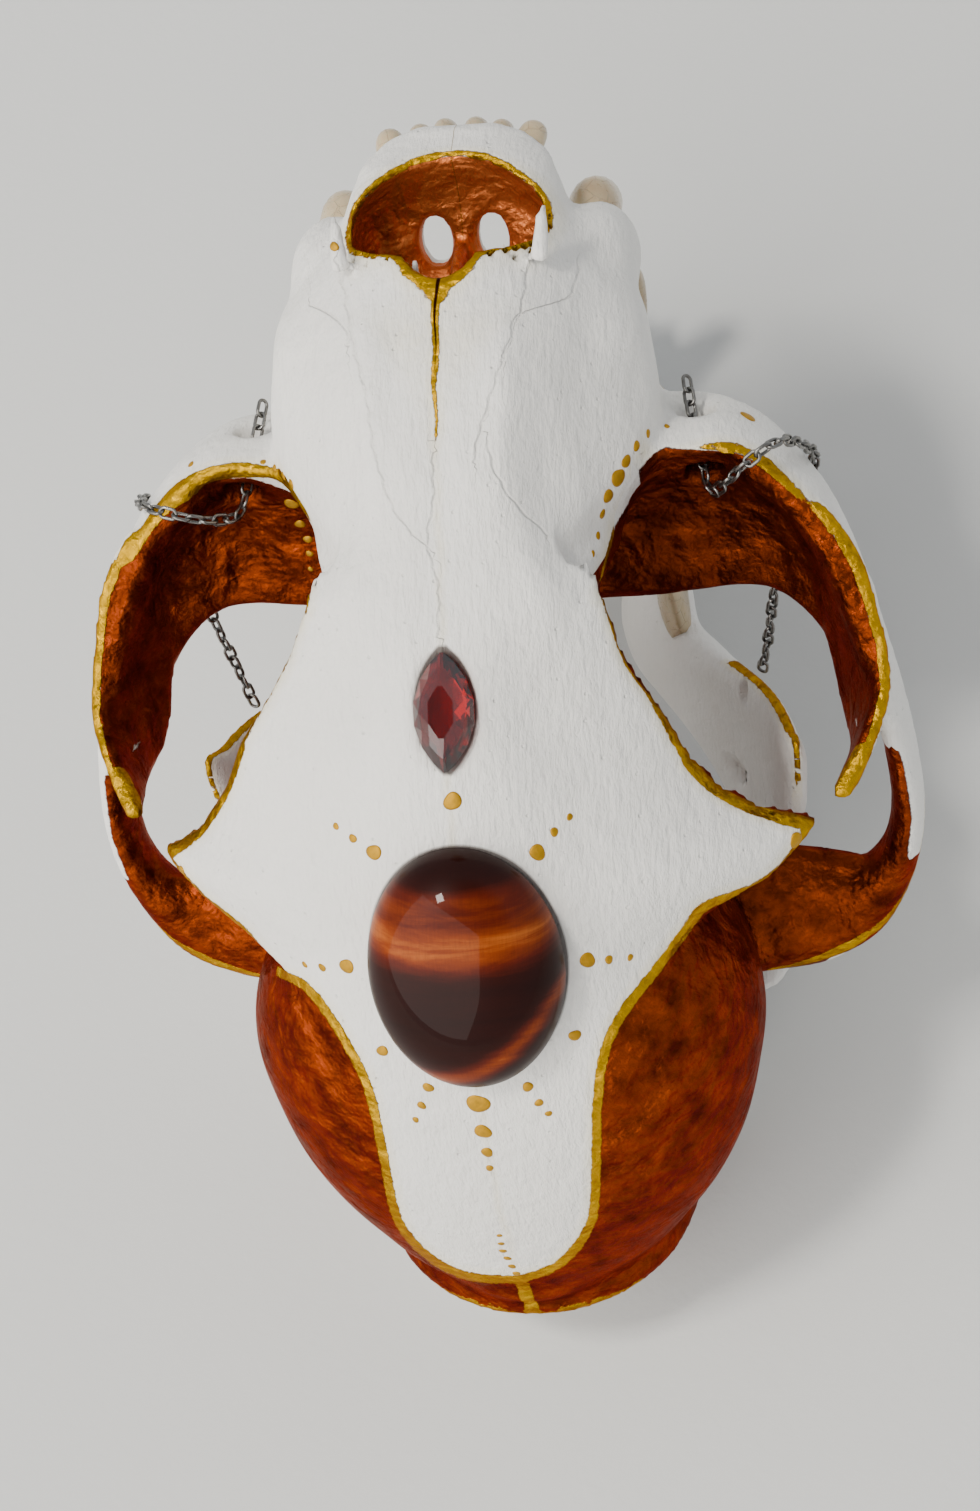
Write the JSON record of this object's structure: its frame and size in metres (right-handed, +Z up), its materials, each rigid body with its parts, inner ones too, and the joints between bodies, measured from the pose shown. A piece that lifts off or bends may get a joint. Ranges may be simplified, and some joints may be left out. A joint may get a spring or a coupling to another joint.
{
  "type": "bay lynx skull",
  "caption": "Painted bay lynx skull with its jaw agape, resting on chin and base, with a faceted gem and an oval stone set in the forehead and a fine chain over each eye socket.",
  "frame": {"origin": "middle of the footprint, on the table", "axes": "+Z up, +Y towards the nose as it is raised, +X to the animal's right"},
  "size_m": [0.0888, 0.126, 0.0935],
  "materials": {
    "painted_bone": "bone brushed with matt white paint, with gold paint on its edges and copper bronze paint in its hollows",
    "tooth": "bare tooth enamel, cream to amber, satin",
    "red_gem": "clear deep red, faceted and polished",
    "tiger_eye": "red tiger eye with silky bands, polished dome",
    "chain_steel": "dark steel, slightly worn"
  },
  "bodies": {
    "root": {"cranium": "painted_bone", "gem": "red_gem", "cabochon": "tiger_eye", "mandible_right": "painted_bone", "mandible_left": "painted_bone", "upper_right_incisor_1": "tooth", "upper_right_incisor_2": "tooth", "upper_right_incisor_3": "tooth", "upper_right_canine": "tooth", "upper_right_premolar_3": "tooth", "upper_right_premolar_4": "tooth", "upper_right_molar_1": "tooth", "lower_right_incisor_1": "tooth", "lower_right_incisor_2": "tooth", "lower_right_incisor_3": "tooth", "lower_right_canine": "tooth", "lower_right_premolar_3": "tooth", "lower_right_premolar_4": "tooth", "lower_right_molar_1": "tooth", "upper_left_incisor_1": "tooth", "upper_left_incisor_2": "tooth", "upper_left_incisor_3": "tooth", "upper_left_canine": "tooth", "upper_left_premolar_3": "tooth", "upper_left_premolar_4": "tooth", "upper_left_molar_1": "tooth", "lower_left_incisor_1": "tooth", "lower_left_incisor_2": "tooth", "lower_left_incisor_3": "tooth", "lower_left_canine": "tooth", "lower_left_premolar_3": "tooth", "lower_left_premolar_4": "tooth", "lower_left_molar_1": "tooth", "chain_right": "chain_steel", "chain_left": "chain_steel"}
  },
  "joints": []
}
